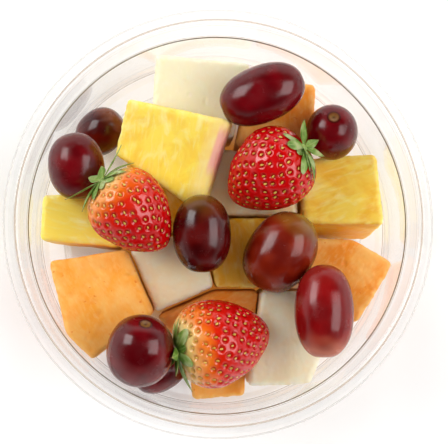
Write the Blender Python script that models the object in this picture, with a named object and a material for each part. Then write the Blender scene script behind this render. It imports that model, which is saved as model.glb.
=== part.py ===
"""A fruit salad in its clear round bowl: melon and pineapple chunks, grapes and strawberries.

Metres, +Z up. The origin is the middle of the bowl's foot, on the table. Every piece of fruit is an object
of its own. Its place in plan and its angles are chosen by hand, and its height is found by letting it down
until it meets the bowl or the fruit beneath it, so the pile rests on itself with a small gap everywhere.
"""

import math
import random
from collections import namedtuple

import bmesh
import bpy
from mathutils import Matrix, Vector
from mathutils.bvhtree import BVHTree

MM = 0.001

# The bowl is one formed sheet of clear plastic, the same thickness all over.
SHEET = 0.7 * MM
BOWL_SIDES = 48
BOWL_HEIGHT = 60.0 * MM
PANEL_RADIUS = 51.5 * MM
PANEL_RISE = 2.2 * MM
FOOT_INNER_RADIUS = 53.5 * MM
FOOT_OUTER_RADIUS = 59.4 * MM
BASE_RING_RADIUS = 61.8 * MM
BASE_RING_HEIGHT = 4.2 * MM
WALL_FOOT_RADIUS = 63.5 * MM
WALL_FOOT_HEIGHT = 6.2 * MM
LEDGE_INNER_RADIUS = 65.4 * MM
LEDGE_WIDTH = 1.2 * MM
LEDGE_HEIGHT = 45.6 * MM
MOUTH_RADIUS = 68.0 * MM
BEAD_RADIUS = 1.35 * MM
FLANGE_RADIUS = 72.4 * MM
FLANGE_DROP = 3.0 * MM
OUTER_RADIUS = 73.3 * MM
LIP_DROP = 5.0 * MM

# Fruit.
GAP = 0.3 * MM
EDGE_ROUNDING = 1.0 * MM
CUT_UNEVENNESS = 0.2
FOOT_DRAW = 0.95
GRAPE_SIDES = 16
GRAPE_RINGS = 10
BERRY_SIDES = 20
BERRY_RINGS = 12
BERRY_FLATNESS = 0.93
CALYX_GAP = 0.5 * MM
SEPAL_LIFT = 0.4 * MM
SEPAL_THICKNESS = 0.7 * MM
SEPAL_RINGS = 2.6
CLEFT_RINGS = 1.4

# Sizes and places in millimetres, angles in degrees. A chunk's top is its upper outline in the bowl's plan,
# anticlockwise from its upper left, and its foot is that outline drawn in towards the axis and shifted. The
# outer chunks come first, because a foot that is drawn in would catch on a neighbour nearer the axis.
Chunk = namedtuple("Chunk", "name fruit height top shift tilt", defaults=((0, 0), (0, 0)))
Grape = namedtuple("Grape", "name length width place turn pitch")
Berry = namedtuple("Berry", "name length width place turn pitch roll")

LOWER_CHUNKS = (
    Chunk("honeydew_top", "honeydew", 27, ((-20.5, 61), (-23, 32.6), (6, 32.6), (11.6, 58)), tilt=(1, 0)),
    Chunk("cantaloupe_top", "cantaloupe", 25, ((13, 54.5), (7.6, 29.6), (34, 26.8), (35.5, 50.5)), tilt=(0, 1)),
    Chunk(
        "pineapple_right",
        "pineapple",
        26,
        ((30.7, 24), (30.7, 2.5), (59, 2), (56.5, 26.5)),
        shift=(0, -4),
        tilt=(0, -1),
    ),
    Chunk(
        "cantaloupe_right",
        "cantaloupe",
        25,
        ((30, -3.4), (30.2, -15.6), (39, -28), (50, -33), (59.6, -17.5), (62, -12), (49, -4.4)),
    ),
    Chunk(
        "honeydew_bottom",
        "honeydew",
        25,
        ((16.8, -22), (12, -55), (33.5, -54), (37, -44), (33.6, -22)),
        tilt=(2, 0),
    ),
    Chunk("cantaloupe_bottom", "cantaloupe", 14, ((-8.5, -45.5), (-7.5, -60), (10.5, -58.5), (11, -41))),
    Chunk(
        "cantaloupe_left",
        "cantaloupe",
        29,
        ((-57.8, -12.2), (-52, -37), (-43, -46), (-22.2, -29.6), (-31.7, -8.4)),
    ),
    Chunk("pineapple_left", "pineapple", 25, ((-60.5, 11), (-61.2, -4), (-34.5, -6.6), (-33.7, 12)), tilt=(0, 1)),
    Chunk("honeydew_middle", "honeydew", 23, ((-6.6, 28.4), (-6.4, 5), (28.8, 5), (28.4, 25.4)), tilt=(-1, 0)),
    Chunk("pineapple_inner", "pineapple", 19, ((-30, 31.2), (-32.6, -6.4), (-8.4, 1.2), (-8, 31.2)), tilt=(0, 1)),
    Chunk("pineapple_middle", "pineapple", 22, ((-5, 3.4), (0.6, -20.6), (15, -20.4), (28.6, -18.6), (28.6, 3.8))),
    Chunk("honeydew_left", "honeydew", 23, ((-29.7, -7.6), (-20.7, -28.8), (-0.8, -20), (-7.2, -0.4)), tilt=(1, 0)),
    Chunk("cantaloupe_inner", "cantaloupe", 19, ((-20, -30.8), (-10, -43), (12.6, -38), (15.2, -22), (0, -22))),
)
LOWER_GRAPES = (
    Grape("grape_upper_left", 18.5, 16.4, (-40.6, 35.6), 40, 20),
    Grape("grape_hidden", 21.0, 17.0, (-19.5, -49.0), 30, 0),
    Grape("grape_right", 21.0, 18.4, (40.4, 33.2), 90, 64),
    Grape("grape_left", 23.6, 19.9, (-48.9, 21.1), 98, 8),
)
SLABS = (
    Chunk(
        "pineapple_top",
        "pineapple",
        12,
        ((-31.3, 45), (-35.2, 26), (-11, 9.2), (-5, 9.2), (4, 37.8)),
        shift=(2, 0),
        tilt=(12, 0),
    ),
)
BERRIES = (
    Berry("strawberry_left", 31.4, 28.2, (-28.7, 3.5), -46, -8, 0),
    Berry("strawberry_right", 32.6, 29.8, (17.4, 18.4), -146, -28, 0),
    Berry("strawberry_bottom", 34.6, 31.6, (2.4, -40.0), 12, -21, 0),
)
UPPER_GRAPES = (
    Grape("grape_top", 31.0, 20.2, (15.6, 45.8), 22, 6),
    Grape("grape_middle", 27.4, 20.4, (-5.3, -3.0), 92, 8),
    Grape("grape_brown", 30.0, 23.8, (22.3, -8.9), 56, 10),
    Grape("grape_lower_right", 32.9, 20.8, (37.0, -29.8), 90, 0),
    Grape("grape_lower_left", 25.5, 23.2, (-26.7, -43.5), 79, 42),
)

COLOURS = {
    "clear": ((0.93, 0.95, 0.94), 0.06),
    "honeydew": ((0.86, 0.80, 0.50), 0.35),
    "pineapple": ((0.94, 0.68, 0.10), 0.35),
    "cantaloupe": ((0.93, 0.42, 0.09), 0.38),
    "grape": ((0.11, 0.004, 0.012), 0.22),
    "strawberry": ((0.62, 0.02, 0.015), 0.25),
    "sepal": ((0.16, 0.32, 0.06), 0.5),
}


def material(name):
    """The shared material of this name, made on first use."""
    found = bpy.data.materials.get(name)
    if found:
        return found
    colour, roughness = COLOURS[name]
    made = bpy.data.materials.new(name)
    made.use_nodes = True
    shader = made.node_tree.nodes["Principled BSDF"]
    shader.inputs["Base Color"].default_value = (*colour, 1.0)
    shader.inputs["Roughness"].default_value = roughness
    shader.inputs["Metallic"].default_value = 0.0
    if name == "clear":
        shader.inputs["Transmission Weight"].default_value = 1.0
        shader.inputs["IOR"].default_value = 1.57
    return made


def add_object(name, mesh_builder, look):
    """An object in the scene from a bmesh, shaded smooth over its round parts."""
    bmesh.ops.recalc_face_normals(mesh_builder, faces=mesh_builder.faces)
    mesh = bpy.data.meshes.new(name)
    mesh_builder.to_mesh(mesh)
    mesh_builder.free()
    mesh.shade_smooth()
    mesh.set_sharp_from_angle(angle=math.radians(50))
    mesh.materials.append(material(look))
    made = bpy.data.objects.new(name, mesh)
    bpy.context.scene.collection.objects.link(made)
    return made


def turned(profile, sides, point_at):
    """A closed skin round an axis. The profile runs from pole to pole; point_at(profile point, angle)."""
    made = bmesh.new()
    first = made.verts.new(point_at(profile[0], 0.0))
    last = made.verts.new(point_at(profile[-1], 0.0))
    rings = [
        [made.verts.new(point_at(point, 2 * math.pi * i / sides)) for i in range(sides)]
        for point in profile[1:-1]
    ]
    for i in range(sides):
        j = (i + 1) % sides
        made.faces.new((first, rings[0][j], rings[0][i]))
        made.faces.new((last, rings[-1][i], rings[-1][j]))
        for upper, lower in zip(rings, rings[1:]):
            made.faces.new((upper[i], upper[j], lower[j], lower[i]))
    return made


# The bowl


def arc(centre, radius, start, end, steps):
    """Points on an arc in the (radius, height) plane, its angles in degrees."""
    angles = [math.radians(start + (end - start) * i / steps) for i in range(steps + 1)]
    return [(centre[0] + radius * math.cos(a), centre[1] + radius * math.sin(a)) for a in angles]


def bowl_centreline():
    """The middle of the sheet, from the axis out over the base and up the wall to the lip."""
    foot = SHEET / 2
    top = BOWL_HEIGHT - SHEET / 2
    bead_centre = (MOUTH_RADIUS + BEAD_RADIUS, top - BEAD_RADIUS)
    return [
        (0.0, PANEL_RISE + foot),
        (PANEL_RADIUS, PANEL_RISE + foot),
        (FOOT_INNER_RADIUS, foot),
        (FOOT_OUTER_RADIUS, foot),
        (FOOT_OUTER_RADIUS + 1.5 * MM, foot + 0.9 * MM),
        (BASE_RING_RADIUS, BASE_RING_HEIGHT),
        (WALL_FOOT_RADIUS, WALL_FOOT_HEIGHT),
        (LEDGE_INNER_RADIUS, LEDGE_HEIGHT),
        (LEDGE_INNER_RADIUS + LEDGE_WIDTH, LEDGE_HEIGHT + 0.9 * MM),
        (MOUTH_RADIUS, top - BEAD_RADIUS - 1.2 * MM),
        *arc(bead_centre, BEAD_RADIUS, 180, 20, 5),
        (FLANGE_RADIUS, top - FLANGE_DROP),
        (OUTER_RADIUS, top - FLANGE_DROP - 0.9 * MM),
        (OUTER_RADIUS, top - LIP_DROP),
    ]


def beside(points, distance):
    """The same line moved sideways, square to its own run: to its left for a positive distance."""
    moved = []
    for i, here in enumerate(points):
        before = Vector(here) - Vector(points[max(i - 1, 0)])
        after = Vector(points[min(i + 1, len(points) - 1)]) - Vector(here)
        ways = [way.normalized() for way in (before, after) if way.length > 0]
        sides = [Vector((-way.y, way.x)) for way in ways]
        middle = sum(sides, Vector((0.0, 0.0))).normalized()
        moved.append(Vector(here) + middle * distance / middle.dot(sides[0]))
    return moved


def make_bowl():
    line = bowl_centreline()
    inside = beside(line, SHEET / 2)
    outside = beside(line, -SHEET / 2)

    def point_at(point, angle):
        return (point[0] * math.cos(angle), point[0] * math.sin(angle), point[1])

    skin = turned(inside + outside[::-1], BOWL_SIDES, point_at)
    return add_object("bowl", skin, "clear")


# Fruit, each in its own frame round its middle


def chunk_middle(chunk):
    """Where the middle of a chunk's upper outline is, in the bowl's plan."""
    return sum((Vector(corner) for corner in chunk.top), Vector((0.0, 0.0))) / len(chunk.top)


def make_chunk(chunk):
    """A block cut by hand with a knife: no two faces quite parallel, its edges a little soft."""
    dice = random.Random(chunk.name)
    middle = chunk_middle(chunk)
    shifts = (Vector(chunk.shift), Vector((0.0, 0.0)))
    made = bmesh.new()
    rings = []
    for height, draw, shift in zip((-chunk.height / 2, chunk.height / 2), (FOOT_DRAW, 1.0), shifts):
        ring = []
        for corner in chunk.top:
            plan = Vector(corner) * draw + shift - middle
            uneven = [dice.uniform(-CUT_UNEVENNESS, CUT_UNEVENNESS) for _ in range(3)]
            ring.append(made.verts.new((Vector((plan.x, plan.y, height)) + Vector(uneven)) * MM))
        rings.append(ring)
    low, high = rings
    made.faces.new(low[::-1])
    made.faces.new(high)
    for i in range(len(low)):
        j = (i + 1) % len(low)
        made.faces.new((low[i], low[j], high[j], high[i]))
    bmesh.ops.bevel(
        made, geom=made.edges[:], offset=EDGE_ROUNDING, segments=2, profile=0.5, affect="EDGES"
    )
    return add_object(chunk.name, made, chunk.fruit)


def make_grape(grape):
    """A long rounded berry along X, its two ends blunter than an ellipsoid's."""
    half_length, half_width = grape.length / 2 * MM, grape.width / 2 * MM

    def point_at(angle, around):
        along = math.copysign(abs(math.cos(angle)) ** 0.92, math.cos(angle))
        out = math.sin(angle) ** 0.88 * half_width
        return (along * half_length, out * math.cos(around), out * math.sin(around))

    angles = [math.pi * i / GRAPE_RINGS for i in range(GRAPE_RINGS + 1)]
    return add_object(grape.name, turned(angles, GRAPE_SIDES, point_at), "grape")


def berry_radius(angle):
    """A strawberry's half width, as a share of the largest, at this angle from its stem to its tip."""
    shoulder = math.sin(angle) ** (0.72 + 0.33 * angle / math.pi)
    return shoulder * (1.0 + 0.30 * math.cos(angle)) / 1.07


def berry_point(berry, angle, around):
    """A point on the skin of a strawberry that lies along X, its stem at -X."""
    along = -math.cos(angle) * berry.length / 2 * MM
    out = berry_radius(angle) * berry.width / 2 * MM
    return Vector((along, out * math.cos(around), out * math.sin(around) * BERRY_FLATNESS))


def make_berry(berry):
    def point_at(angle, around):
        return berry_point(berry, angle, around)

    angles = [math.pi * i / BERRY_RINGS for i in range(BERRY_RINGS + 1)]
    return add_object(berry.name, turned(angles, BERRY_SIDES, point_at), "strawberry")


def clear_of_berry(berry, angle, around, clear):
    """The point a distance out from a strawberry's skin, square to it."""
    if angle == 0.0:
        return berry_point(berry, 0.0, around) - Vector((clear, 0.0, 0.0))
    little = 0.01
    along = berry_point(berry, angle + little, around) - berry_point(berry, angle - little, around)
    across = berry_point(berry, angle, around + little) - berry_point(berry, angle, around - little)
    return berry_point(berry, angle, around) + across.cross(along).normalized() * clear


def make_calyx(berry):
    """The green cap: a thin star that follows the shoulders of its strawberry, every other side a sepal."""
    made = bmesh.new()
    ring_step = math.pi / BERRY_RINGS
    skins = []
    for clear in (CALYX_GAP, CALYX_GAP + SEPAL_THICKNESS):
        rings = [[made.verts.new(clear_of_berry(berry, 0.0, 0.0, clear))] * BERRY_SIDES]
        for share in (0.25, 0.5, 0.75, 1.0):
            lifted = clear + SEPAL_LIFT * share
            ring = []
            for i in range(BERRY_SIDES):
                reach = (SEPAL_RINGS if i % 2 == 0 else CLEFT_RINGS) * ring_step
                around = 2 * math.pi * i / BERRY_SIDES
                ring.append(made.verts.new(clear_of_berry(berry, reach * share, around, lifted)))
            rings.append(ring)
        skins.append(rings)
    under, over = skins
    for i in range(BERRY_SIDES):
        j = (i + 1) % BERRY_SIDES
        for rings in skins:
            made.faces.new((rings[0][0], rings[1][i], rings[1][j]))
            for inner, outer in zip(rings[1:], rings[2:]):
                made.faces.new((inner[i], outer[i], outer[j], inner[j]))
        made.faces.new((under[-1][i], over[-1][i], over[-1][j], under[-1][j]))
    return add_object(berry.name + "_calyx", made, "sepal")


# Placing


def turned_by(turn, pitch, roll):
    """Roll about the piece's own X, then pitch its X end up, then turn it in plan."""
    return (
        Matrix.Rotation(math.radians(turn), 4, "Z")
        @ Matrix.Rotation(math.radians(-pitch), 4, "Y")
        @ Matrix.Rotation(math.radians(roll), 4, "X")
    )


def skin_of(pieces, clear=0.0):
    """World points and faces of these pieces, their skin moved out by clear."""
    points, faces = [], []
    for piece in pieces:
        start = len(points)
        for vertex in piece.data.vertices:
            points.append(piece.matrix_basis @ (vertex.co + vertex.normal * clear))
        faces += [[start + i for i in polygon.vertices] for polygon in piece.data.polygons]
    return points, faces


def meets(points, faces, height, settled):
    """Whether these points, lifted by height, touch anything that is already settled."""
    lifted = [point + Vector((0.0, 0.0, height)) for point in points]
    return bool(BVHTree.FromPolygons(lifted, faces).overlap(settled))


def let_down(pieces, place, angles, settled_pieces):
    """Sets pieces over their place and lowers them until they stand a gap clear of what is settled."""
    for piece in pieces:
        piece.matrix_basis = Matrix.Translation((place[0] * MM, place[1] * MM, 0.0)) @ turned_by(*angles)
    settled = BVHTree.FromPolygons(*skin_of(settled_pieces))
    points, faces = skin_of(pieces, GAP)
    height, step = 2 * BOWL_HEIGHT, 1.0 * MM
    while not meets(points, faces, height - step, settled):
        height -= step
    while step > 0.02 * MM:
        step /= 2
        if not meets(points, faces, height - step, settled):
            height -= step
    for piece in pieces:
        piece.matrix_basis = Matrix.Translation((0.0, 0.0, height)) @ piece.matrix_basis
    settled_pieces.extend(pieces)


def fill_bowl():
    """The chunks and grapes on the floor first, then the slab, the strawberries and the grapes on top."""
    settled = [make_bowl()]

    def add_chunks(chunks):
        for chunk in chunks:
            about_x, about_y = chunk.tilt
            let_down([make_chunk(chunk)], chunk_middle(chunk), (0, about_y, about_x), settled)

    def add_grapes(grapes):
        for grape in grapes:
            let_down([make_grape(grape)], grape.place, (grape.turn, grape.pitch, 0), settled)

    add_chunks(LOWER_CHUNKS)
    add_grapes(LOWER_GRAPES)
    add_chunks(SLABS)
    for berry in BERRIES:
        pieces = [make_berry(berry), make_calyx(berry)]
        let_down(pieces, berry.place, (berry.turn, berry.pitch, berry.roll), settled)
    add_grapes(UPPER_GRAPES)


for old in list(bpy.data.objects):
    bpy.data.objects.remove(old, do_unlink=True)
fill_bowl()
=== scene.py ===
"""The looks of a fruit salad in its clear round bowl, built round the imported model.

Metres, +Z up, in the model's own frame. The chunks are carved from the model's own blocks. The grapes and
strawberries are made again from their sizes and angles at a finer grain, and are placed by the boxes of the
solids that they stand for. The bowl is turned again from the same profile, with its bends rounded.
"""

import math
import random
from collections import namedtuple

import bmesh
import bpy
import numpy as np
from mathutils import Matrix, Vector, noise
from mathutils.kdtree import KDTree


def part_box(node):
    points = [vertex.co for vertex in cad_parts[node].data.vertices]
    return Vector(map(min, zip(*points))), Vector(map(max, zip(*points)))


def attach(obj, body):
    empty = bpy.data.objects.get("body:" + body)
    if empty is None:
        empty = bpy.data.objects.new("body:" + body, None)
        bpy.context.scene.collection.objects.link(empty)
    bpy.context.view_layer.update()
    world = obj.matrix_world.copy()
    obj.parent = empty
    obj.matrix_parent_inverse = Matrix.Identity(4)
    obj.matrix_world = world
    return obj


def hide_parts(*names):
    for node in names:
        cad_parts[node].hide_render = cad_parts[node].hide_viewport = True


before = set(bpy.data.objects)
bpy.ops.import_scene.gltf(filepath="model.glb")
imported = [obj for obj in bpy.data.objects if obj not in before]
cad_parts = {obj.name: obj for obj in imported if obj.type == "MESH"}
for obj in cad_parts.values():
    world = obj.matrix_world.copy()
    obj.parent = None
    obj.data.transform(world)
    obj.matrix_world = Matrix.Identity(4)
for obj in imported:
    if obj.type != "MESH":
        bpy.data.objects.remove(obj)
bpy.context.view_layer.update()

MM = 0.001
BODY = "root"

# Camera: nearly straight above, a little to the left and the front.
CAMERA_PLACE = Vector((-0.038, -0.0586, 0.960))
CAMERA_TARGET = Vector((0.0016, 0.0001, 0.060))
LENS_MM = 213.3

# Light: two soft boxes, one to the left and the back and one to the right, which the fruit mirrors, and a dim
# one overhead, which it does not. Sizes are (across, along), in metres.
LIGHT_DISTANCE = 1.6
SoftBox = namedtuple("SoftBox", "name direction size radiance mirrored")
SOFT_BOXES = (
    SoftBox("left_box", (-0.68, 0.42, 0.60), (0.83, 0.98), 6.4, True),
    SoftBox("right_box", (0.70, -0.02, 0.71), (1.0, 1.4), 4.0, True),
    SoftBox("overhead_fill", (0.0, -0.20, 1.0), (1.5, 1.5), 1.0, False),
)

# The room: how bright it is overhead and round the horizon, and the share of that in front.
WORLD_ABOVE = 0.03
WORLD_HORIZON = 1.25
WORLD_FRONT = 0.45
WORLD_FADE = (0.12, 0.55)
WORLD_TURN = (-0.5, 0.3)

# The floor glows a little, and more from the first to the second of these distances in metres, so that
# hardly an edge shows where it meets the room.
FLOOR_HALF = 6.0
FLOOR_GLOW = 0.2
FAR_FLOOR_GLOW = 0.95
FLOOR_FADE = (0.35, 1.6)

# Bowl: the same run of the sheet as in the model, its bends rounded.
SHEET = 0.7 * MM
BOWL_SEGMENTS = 224
BEND_STEPS = 5
BOWL_TOP = 60.0 * MM
PANEL_RADIUS = 51.5 * MM
PANEL_RISE = 2.2 * MM
FOOT_INNER_RADIUS = 53.5 * MM
FOOT_OUTER_RADIUS = 59.4 * MM
BASE_RING = (61.8 * MM, 4.2 * MM)
WALL_FOOT = (63.5 * MM, 6.2 * MM)
LEDGE = (65.4 * MM, 45.6 * MM)
LEDGE_WIDTH = 1.2 * MM
MOUTH_RADIUS = 68.0 * MM
BEAD_RADIUS = 1.35 * MM
FLANGE_RADIUS = 72.4 * MM
FLANGE_DROP = 3.0 * MM
OUTER_RADIUS = 73.3 * MM
LIP_DROP = 5.0 * MM

# What one face of the sheet lets through, and what it lets through under the pile, where it is tinted orange:
# painted light, standing in for the warm light that the fruit bounces and lets through.
SHEET_TINT = (0.982, 0.979, 0.976, 1.0)
PILE_BOUNCE_TINT = (0.96, 0.66, 0.26, 1.0)
PILE_BOUNCE_REACH = (30.0 * MM, 42.0 * MM)

# The sheet mirrors by this index, which is below a real plastic's, and at most these shares of the light:
# the first one inside the ledge, and the second from the ledge out.
PLASTIC_IOR = 1.38
MOST_MIRROR = 0.24
RIM_MIRROR = 0.07

# Where the sheet is folded or curls over it hides more of what is behind it and is painted browner: painted
# shade and reflection, standing in for how the bend refracts and mirrors light. Places are on the middle of
# the sheet, widths are from its surface, both in millimetres; share and brown go from 0 to 1.
FoldLine = namedtuple("FoldLine", "radius height half_width share brown")
FOLD_LINES = (
    FoldLine(53.6, 0.5, 0.14, 0.14, 0.3),
    FoldLine(61.8, 4.2, 0.16, 0.45, 0.6),
    FoldLine(63.5, 6.2, 0.12, 0.16, 0.5),
    FoldLine(65.4, 45.6, 0.18, 0.95, 1.0),
    FoldLine(68.0, 58.2, 0.14, 0.55, 0.6),
    FoldLine(69.4, 59.7, 0.12, 0.50, 0.55),
    FoldLine(73.3, 54.8, 0.22, 0.30, 0.1),
)

# The outer side of the bead and the slope of the flange are tinted greyer in a band about this radius:
# painted shade, standing in for how the sloping sheet refracts and mirrors light.
FLANGE_SHADE_TINT = (0.948, 0.950, 0.950, 1.0)
FLANGE_SHADE_RADIUS = 70.9 * MM
FLANGE_SHADE_HALF_WIDTH = 1.1 * MM

# Fruit, with the sizes (millimetres) and angles (degrees) of the model's. A grape may be paler at its front
# end, which points along its turn, or at its back end, and may show the scar of its stalk in front.
Grape = namedtuple("Grape", "name length width turn pitch kind front back scar")
GRAPES = (
    Grape("grape_upper_left", 18.5, 16.4, 40, 20, "amber", 0.7, 0.0, 0.0),
    Grape("grape_hidden", 21.0, 17.0, 30, 0, "red", 0.2, 0.0, 0.0),
    Grape("grape_right", 21.0, 18.4, 90, 64, "red", 0.0, 0.0, 1.0),
    Grape("grape_left", 23.6, 19.9, 98, 8, "red", 0.1, 0.1, 0.0),
    Grape("grape_top", 31.0, 20.2, 22, 6, "red", 0.1, 0.15, 0.3),
    Grape("grape_middle", 27.4, 20.4, 92, 8, "dark", 0.75, 0.0, 0.0),
    Grape("grape_brown", 30.0, 23.8, 56, 10, "brown", 0.8, 0.1, 0.0),
    Grape("grape_lower_right", 32.9, 20.8, 90, 0, "bright", 0.1, 0.8, 0.0),
    Grape("grape_lower_left", 25.5, 23.2, 79, 42, "red", 0.0, 0.0, 1.0),
)
GRAPE_SIDES = 72
GRAPE_RINGS = 64

Berry = namedtuple("Berry", "name length width turn pitch roll pale_to red_from")
BERRIES = (
    Berry("strawberry_left", 31.4, 28.2, -46, -8, 0, 0.10, 0.52),
    Berry("strawberry_right", 32.6, 29.8, -146, -28, 0, -0.30, -0.10),
    Berry("strawberry_bottom", 34.6, 31.6, 12, -21, 0, 0.12, 0.46),
)
BERRY_SIDES = 208
BERRY_RINGS = 150
BERRY_FLATNESS = 0.93
SEED_SPACING = 3.75 * MM
PIT_RADIUS = 1.5 * MM
PIT_DEPTH = 0.72 * MM
SEED_LENGTH = 1.35 * MM
SEED_WIDTH = 0.85 * MM
SEED_RAISE = 0.14 * MM

# A strawberry's leaves: where each starts round the stem in degrees, its size in millimetres, and how far it
# bends down over the berry, in degrees from its foot to its tip. A negative bend stands away from the berry.
Leaf = namedtuple("Leaf", "around length width bend")
LEAVES = {
    "strawberry_left": (
        Leaf(74, 9.0, 3.8, 58),
        Leaf(42, 10.0, 3.2, 40),
        Leaf(16, 11.5, 3.0, 24),
        Leaf(-2, 12.5, 2.2, -12),
        Leaf(58, 9.0, 2.6, 8),
        Leaf(106, 8.0, 3.4, 54),
        Leaf(138, 9.5, 3.8, 44),
        Leaf(164, 12.0, 3.4, 20),
        Leaf(184, 13.0, 2.8, -8),
        Leaf(206, 9.0, 3.2, 16),
        Leaf(-60, 7.0, 4.0, -30),
        Leaf(-110, 7.0, 4.0, -40),
    ),
    "strawberry_right": (
        Leaf(117, 9.0, 4.4, 62),
        Leaf(150, 11.0, 2.6, 78),
        Leaf(205, 9.0, 4.2, -35),
        Leaf(28, 8.0, 3.6, 15),
        Leaf(46, 13.5, 3.6, 80),
        Leaf(12, 11.5, 4.0, 25),
        Leaf(-32, 7.0, 3.8, -20),
        Leaf(-85, 6.5, 3.4, -45),
        Leaf(82, 6.4, 3.0, 66),
        Leaf(66, 8.0, 2.4, -20),
    ),
    "strawberry_bottom": (
        Leaf(52, 11.5, 5.0, 66),
        Leaf(104, 9.5, 4.8, -52),
        Leaf(12, 10.0, 2.4, 20),
        Leaf(-8, 9.5, 2.2, 44),
        Leaf(84, 7.5, 3.2, 78),
        Leaf(130, 10.5, 4.4, 66),
        Leaf(156, 9.0, 4.2, -24),
        Leaf(176, 13.5, 2.8, 10),
        Leaf(192, 9.5, 2.4, 40),
        Leaf(-48, 8.0, 4.4, -40),
        Leaf(-110, 8.0, 4.0, -40),
        Leaf(224, 7.5, 3.6, -40),
    ),
}

# A chunk's grain runs this many degrees round from Y. Its tone and shade goes from 0, pale, to 1, deep, and
# clouds shift it either way, so one below 0 stays pale in most places. It is partly the fruit's own tone and
# partly painted light and shade: chunks that lie in shade are given deeper values, and brightly lit ones
# paler values.
Chunk = namedtuple("Chunk", "name fruit grain_turn tone")
CHUNKS = (
    Chunk("honeydew_top", "honeydew", 0, -0.1),
    Chunk("honeydew_middle", "honeydew", 30, 0.8),
    Chunk("honeydew_left", "honeydew", 60, 0.3),
    Chunk("honeydew_bottom", "honeydew", 10, 0.1),
    Chunk("cantaloupe_top", "cantaloupe", 0, 0.6),
    Chunk("cantaloupe_right", "cantaloupe", 40, 0.5),
    Chunk("cantaloupe_left", "cantaloupe", -30, 0.0),
    Chunk("cantaloupe_inner", "cantaloupe", 70, 0.9),
    Chunk("cantaloupe_bottom", "cantaloupe", 15, -0.3),
    Chunk("pineapple_inner", "pineapple", 20, 1.0),
    Chunk("pineapple_right", "pineapple", -70, 0.46),
    Chunk("pineapple_middle", "pineapple", 10, 1.0),
    Chunk("pineapple_left", "pineapple", 75, -0.3),
    Chunk("pineapple_top", "pineapple", -8, 0.12),
)

# A chunk is remeshed at this grain and then grown by this much. Its edges are found by spreading its normals
# this many times, and between these depths under its top its sides are painted in a richer shade colour, as
# painted shade.
VOXEL = 0.52 * MM
GROWTH = 0.45 * MM
EDGE_SPREAD = 4
DEEP_FROM = 1.0 * MM
DEEP_TO = 9.0 * MM


# Colour and node trees


def paint(red, green, blue):
    """A colour given as screen values from 0 to 255, as the linear colour that a shader takes."""
    values = (red, green, blue)
    linear = [(v / 255 / 12.92) if v < 10.3 else ((v / 255 + 0.055) / 1.055) ** 2.4 for v in values]
    return (*linear, 1.0)


class Look:
    """A material whose node tree is built step by step."""

    def __init__(self, name):
        self.material = bpy.data.materials.new(name)
        self.material.use_nodes = True
        self.nodes = self.material.node_tree.nodes
        self.links = self.material.node_tree.links
        self.nodes.clear()

    def add(self, kind, inputs=None, **settings):
        """A node of this kind. Each input takes a value, or the output socket that feeds it."""
        made = self.nodes.new("ShaderNode" + kind)
        for name, value in settings.items():
            setattr(made, name, value)
        for key, value in (inputs or {}).items():
            if isinstance(value, bpy.types.NodeSocket):
                self.links.new(value, made.inputs[key])
            else:
                made.inputs[key].default_value = value
        return made

    def place(self, stretch=(1, 1, 1), turn=0):
        """Object coordinates in metres, turned in plan and then stretched."""
        here = self.add("TexCoord").outputs["Object"]
        inputs = {"Vector": here, "Angle": math.radians(turn)}
        turned = self.add("VectorRotate", inputs, rotation_type="Z_AXIS")
        scaled = self.add("VectorMath", {0: turned.outputs[0], 1: stretch}, operation="MULTIPLY")
        return scaled.outputs[0]

    def noise(self, size, detail=3.0, stretch=(1, 1, 1), turn=0, distortion=0.0):
        """Noise from 0 to 1 with features of about this size in metres."""
        inputs = {
            "Vector": self.place(stretch, turn),
            "Scale": 1 / size,
            "Detail": detail,
            "Distortion": distortion,
        }
        return self.add("TexNoise", inputs).outputs[0]

    def attribute(self, name):
        return self.add("Attribute", attribute_name=name).outputs["Fac"]

    def math(self, operation, first, second=0.0):
        return self.add("Math", {0: first, 1: second}, operation=operation).outputs[0]

    def between(self, value, low, high, to_low=0.0, to_high=1.0):
        """value moved from low..high to to_low..to_high, and kept inside."""
        inputs = {"Value": value, "From Min": low, "From Max": high, "To Min": to_low, "To Max": to_high}
        return self.add("MapRange", inputs, interpolation_type="SMOOTHSTEP").outputs[0]

    def mix(self, factor, first, second):
        return self.add("Mix", {0: factor, 6: first, 7: second}, data_type="RGBA").outputs[2]

    def ramp(self, factor, stops):
        made = self.add("ValToRGB", {"Fac": factor})
        elements = made.color_ramp.elements
        while len(elements) < len(stops):
            elements.new(0.5)
        for element, (position, colour) in zip(elements, stops):
            element.position = position
            element.color = colour
        return made.outputs[0]

    def bump(self, height, distance, strength=1.0):
        inputs = {"Height": height, "Distance": distance, "Strength": strength}
        return self.add("Bump", inputs).outputs[0]

    def skin(self, **inputs):
        """The Principled shader with these inputs, their names written with underscores."""
        named = {name.replace("_", " "): value for name, value in inputs.items()}
        if "IOR Level" in named:
            named["Specular IOR Level"] = named.pop("IOR Level")
        return self.add("BsdfPrincipled", named).outputs[0]

    def done(self, shader):
        self.add("OutputMaterial", {"Surface": shader})
        return self.material


# Meshes


def add_object(name, mesh, material, slot, *replaced):
    """A piece of the salad in the scene. It rides on the bowl's body and stands for the nodes given."""
    mesh.materials.append(material)
    mesh.shade_smooth()
    made = bpy.data.objects.new(name, mesh)
    bpy.context.scene.collection.objects.link(made)
    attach(made, BODY)
    if replaced:
        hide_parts(*replaced)
    return made


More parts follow.
